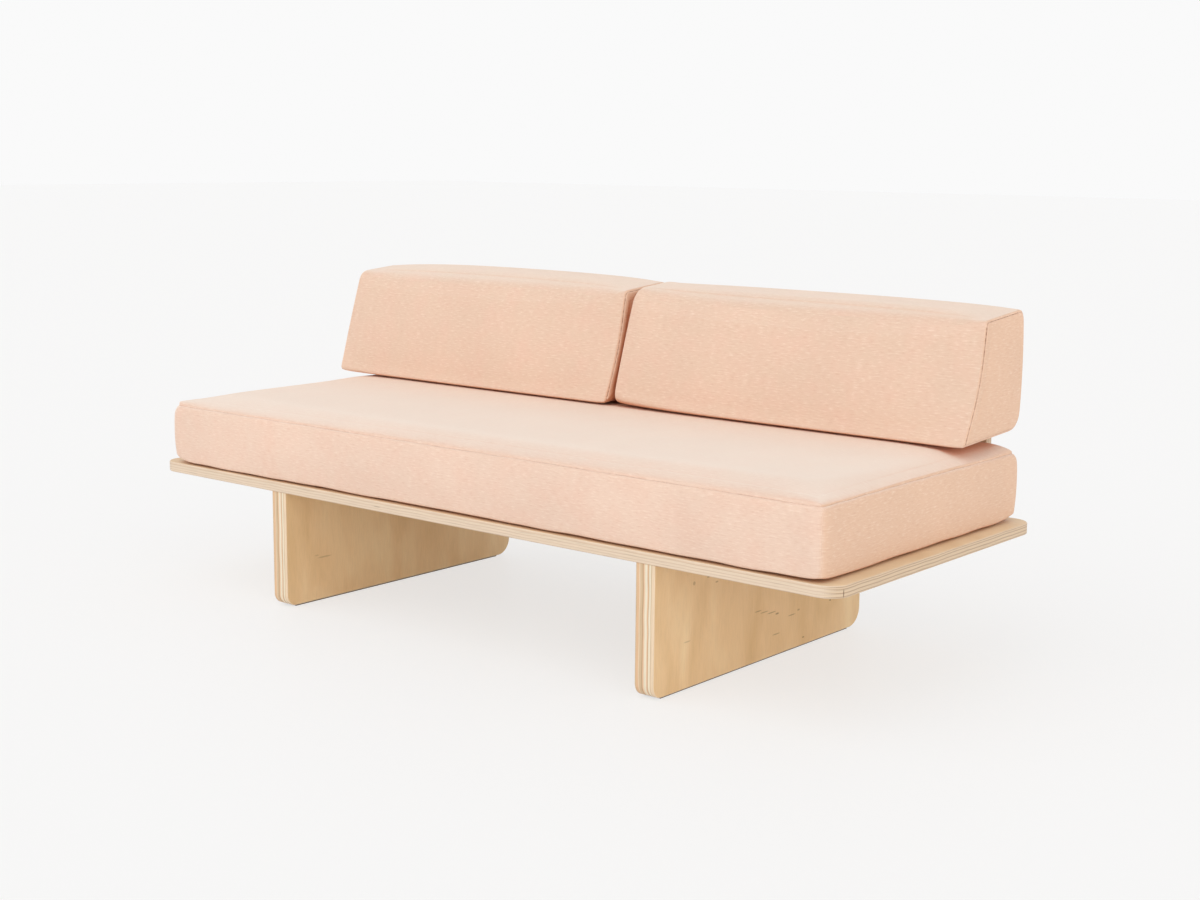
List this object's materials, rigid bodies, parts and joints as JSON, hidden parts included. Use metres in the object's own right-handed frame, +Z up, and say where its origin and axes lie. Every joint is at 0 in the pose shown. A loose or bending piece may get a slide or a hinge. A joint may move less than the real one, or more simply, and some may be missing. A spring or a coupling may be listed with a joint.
{
  "type": "divan",
  "caption": "Low plywood divan: panel legs under a flat deck, a loose foam mattress, and wedge back bolsters that slip over an upright rear panel.",
  "frame": {"origin": "on the floor, under the middle of the whole divan's length and depth", "axes": "+X to the right of someone who faces the divan's front, +Y from the front towards the back panel, +Z up"},
  "size_m": [2, 0.8156, 0.776],
  "materials": {
    "birch_face": "satin",
    "birch_leg": "satin",
    "beech": "matte",
    "upholstery": "matte",
    "foam": "matte",
    "felt": "matte",
    "zinc_steel": "satin",
    "brass": "satin",
    "zip_nylon": "matte"
  },
  "bodies": {
    "frame": {"deck_panel": "birch_face", "back_panel": "birch_face", "left_leg_outer_board": "birch_leg", "left_leg_inner_board": "birch_leg", "left_leg_felt": "felt", "left_leg_front_bolt": "zinc_steel", "left_leg_front_insert": "brass", "left_leg_middle_bolt": "zinc_steel", "left_leg_middle_insert": "brass", "left_leg_rear_bolt": "zinc_steel", "left_leg_rear_insert": "brass", "left_leg_front_dowel": "beech", "left_leg_rear_dowel": "beech", "right_leg_outer_board": "birch_leg", "right_leg_inner_board": "birch_leg", "right_leg_felt": "felt", "right_leg_front_bolt": "zinc_steel", "right_leg_front_insert": "brass", "right_leg_middle_bolt": "zinc_steel", "right_leg_middle_insert": "brass", "right_leg_rear_bolt": "zinc_steel", "right_leg_rear_insert": "brass", "right_leg_front_dowel": "beech", "right_leg_rear_dowel": "beech", "back_panel_bolt_1": "zinc_steel", "back_panel_barrel_nut_1": "zinc_steel", "back_panel_bolt_2": "zinc_steel", "back_panel_barrel_nut_2": "zinc_steel", "back_panel_bolt_3": "zinc_steel", "back_panel_barrel_nut_3": "zinc_steel", "back_panel_bolt_4": "zinc_steel", "back_panel_barrel_nut_4": "zinc_steel", "back_panel_dowel_1": "beech", "back_panel_dowel_2": "beech", "back_panel_dowel_3": "beech"},
    "mattress": {"mattress_cover": "upholstery", "mattress_foam_core": "foam", "mattress_zip": "zip_nylon"},
    "mattress_zip_pull": {"mattress_zip_slider": "zinc_steel"},
    "left_bolster": {"left_bolster_cover": "upholstery", "left_bolster_foam_core": "foam", "left_bolster_zip": "zip_nylon"},
    "left_bolster_zip_pull": {"left_bolster_zip_slider": "zinc_steel"},
    "right_bolster": {"right_bolster_cover": "upholstery", "right_bolster_foam_core": "foam", "right_bolster_zip": "zip_nylon"},
    "right_bolster_zip_pull": {"right_bolster_zip_slider": "zinc_steel"}
  },
  "joints": [
    {"name": "mattress_pull_out", "type": "slide", "parent": "frame", "child": "mattress", "axis": [0, -1, 0], "range_m": [0, 0.25]},
    {"name": "left_bolster_lift", "type": "slide", "parent": "frame", "child": "left_bolster", "axis": [0, 0, 1], "range_m": [0, 0.24]},
    {"name": "right_bolster_lift", "type": "slide", "parent": "frame", "child": "right_bolster", "axis": [0, 0, 1], "range_m": [0, 0.24]},
    {"name": "mattress_zip_travel", "type": "slide", "parent": "mattress", "child": "mattress_zip_pull", "axis": [1, 0, 0], "range_m": [0, 1.66]},
    {"name": "left_bolster_zip_travel", "type": "slide", "parent": "left_bolster", "child": "left_bolster_zip_pull", "axis": [1, 0, 0], "range_m": [0, 0.655]},
    {"name": "right_bolster_zip_travel", "type": "slide", "parent": "right_bolster", "child": "right_bolster_zip_pull", "axis": [1, 0, 0], "range_m": [0, 0.655]}
  ]
}
